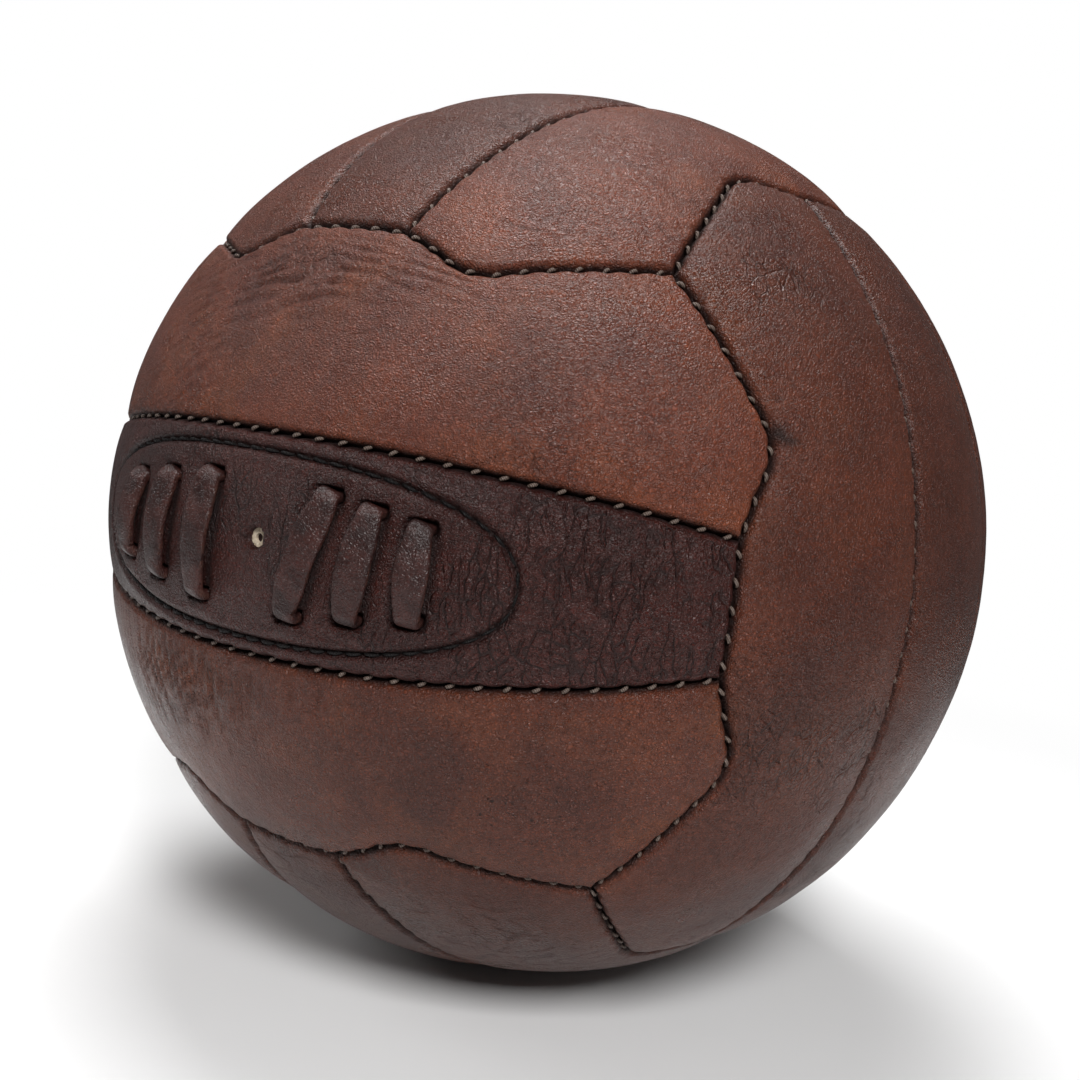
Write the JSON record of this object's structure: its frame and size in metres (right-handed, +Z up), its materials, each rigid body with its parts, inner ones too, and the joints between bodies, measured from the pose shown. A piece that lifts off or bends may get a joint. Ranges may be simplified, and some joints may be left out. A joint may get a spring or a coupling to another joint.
{
  "type": "laced leather ball",
  "caption": "Laced leather exercise ball: a cover of sewn strip panels over an inflated bladder, with two leather laces and a valve.",
  "frame": {"origin": "centre of the ball, midway along each side of its bounding box", "axes": "+Z up, -Y outward through the laced panel and the valve, +X along the laced strip; the three strips of the front and back run along X, those of the two sides along Z, those of the top and bottom along Y"},
  "size_m": [0.22, 0.2218, 0.22],
  "materials": {
    "panel_leather": "waxed pull-up, worn",
    "laced_panel_leather": "waxed pull-up, darker, creased",
    "lace_leather": "waxed",
    "patch_leather": "raw flesh side",
    "patch_thread": "waxed thread",
    "seam_thread": "waxed thread",
    "lining_cloth": "woven cotton",
    "bladder_latex": "matt",
    "valve_rubber": "matt",
    "valve_core": "matt"
  },
  "bodies": {
    "root": {"front_middle_panel": "laced_panel_leather", "front_upper_panel": "panel_leather", "front_lower_panel": "panel_leather", "front_middle_lining": "lining_cloth", "front_upper_lining": "lining_cloth", "front_lower_lining": "lining_cloth", "front_strip_seam_thread": "seam_thread", "front_end_seam_thread": "seam_thread", "back_middle_panel": "panel_leather", "back_upper_panel": "panel_leather", "back_lower_panel": "panel_leather", "back_middle_lining": "lining_cloth", "back_upper_lining": "lining_cloth", "back_lower_lining": "lining_cloth", "back_strip_seam_thread": "seam_thread", "back_end_seam_thread": "seam_thread", "right_middle_panel": "panel_leather", "right_front_panel": "panel_leather", "right_rear_panel": "panel_leather", "right_middle_lining": "lining_cloth", "right_front_lining": "lining_cloth", "right_rear_lining": "lining_cloth", "right_strip_seam_thread": "seam_thread", "right_end_seam_thread": "seam_thread", "left_middle_panel": "panel_leather", "left_rear_panel": "panel_leather", "left_front_panel": "panel_leather", "left_middle_lining": "lining_cloth", "left_rear_lining": "lining_cloth", "left_front_lining": "lining_cloth", "left_strip_seam_thread": "seam_thread", "left_end_seam_thread": "seam_thread", "top_middle_panel": "panel_leather", "top_left_panel": "panel_leather", "top_right_panel": "panel_leather", "top_middle_lining": "lining_cloth", "top_left_lining": "lining_cloth", "top_right_lining": "lining_cloth", "top_strip_seam_thread": "seam_thread", "top_end_seam_thread": "seam_thread", "bottom_middle_panel": "panel_leather", "bottom_right_panel": "panel_leather", "bottom_left_panel": "panel_leather", "bottom_middle_lining": "lining_cloth", "bottom_right_lining": "lining_cloth", "bottom_left_lining": "lining_cloth", "bottom_strip_seam_thread": "seam_thread", "bottom_end_seam_thread": "seam_thread", "lace_left": "lace_leather", "lace_right": "lace_leather", "lace_backing_patch": "patch_leather", "patch_thread": "patch_thread", "bladder": "bladder_latex", "valve_body": "valve_rubber", "valve_core": "valve_core"}
  },
  "joints": []
}
